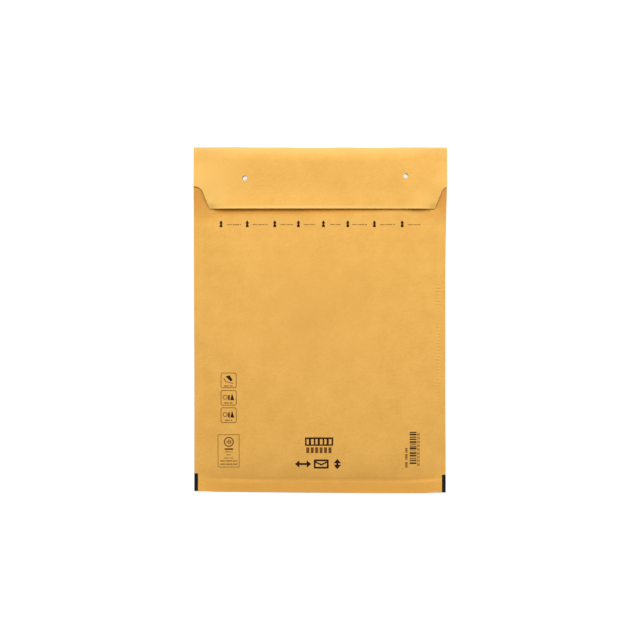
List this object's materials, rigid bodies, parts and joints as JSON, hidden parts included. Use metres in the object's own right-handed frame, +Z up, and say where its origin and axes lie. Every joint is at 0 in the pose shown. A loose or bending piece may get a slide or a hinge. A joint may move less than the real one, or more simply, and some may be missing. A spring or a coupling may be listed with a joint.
{
  "type": "padded envelope",
  "caption": "Padded kraft mailing envelope with a bubble film lining, a folded-over self-seal flap and clip holes, lying flat on its back.",
  "frame": {"origin": "on the ground under the middle of the outline, with the envelope lying on its back", "axes": "+X to the right seen from the flap side, +Y from the bottom fold towards the flap fold, +Z up out of the front"},
  "size_m": [0.202, 0.275, 0.0098],
  "materials": {
    "kraft_paper": "matt golden-brown kraft with fine fibres",
    "bubble_film": "clear glossy film",
    "hot_melt_adhesive": "glossy and slightly amber",
    "silicone_paper": "smooth off-white with a silicone sheen"
  },
  "bodies": {
    "root": {"kraft_envelope": "kraft_paper", "bubble_lining": "bubble_film", "adhesive_strip": "hot_melt_adhesive", "release_liner": "silicone_paper"}
  },
  "joints": []
}
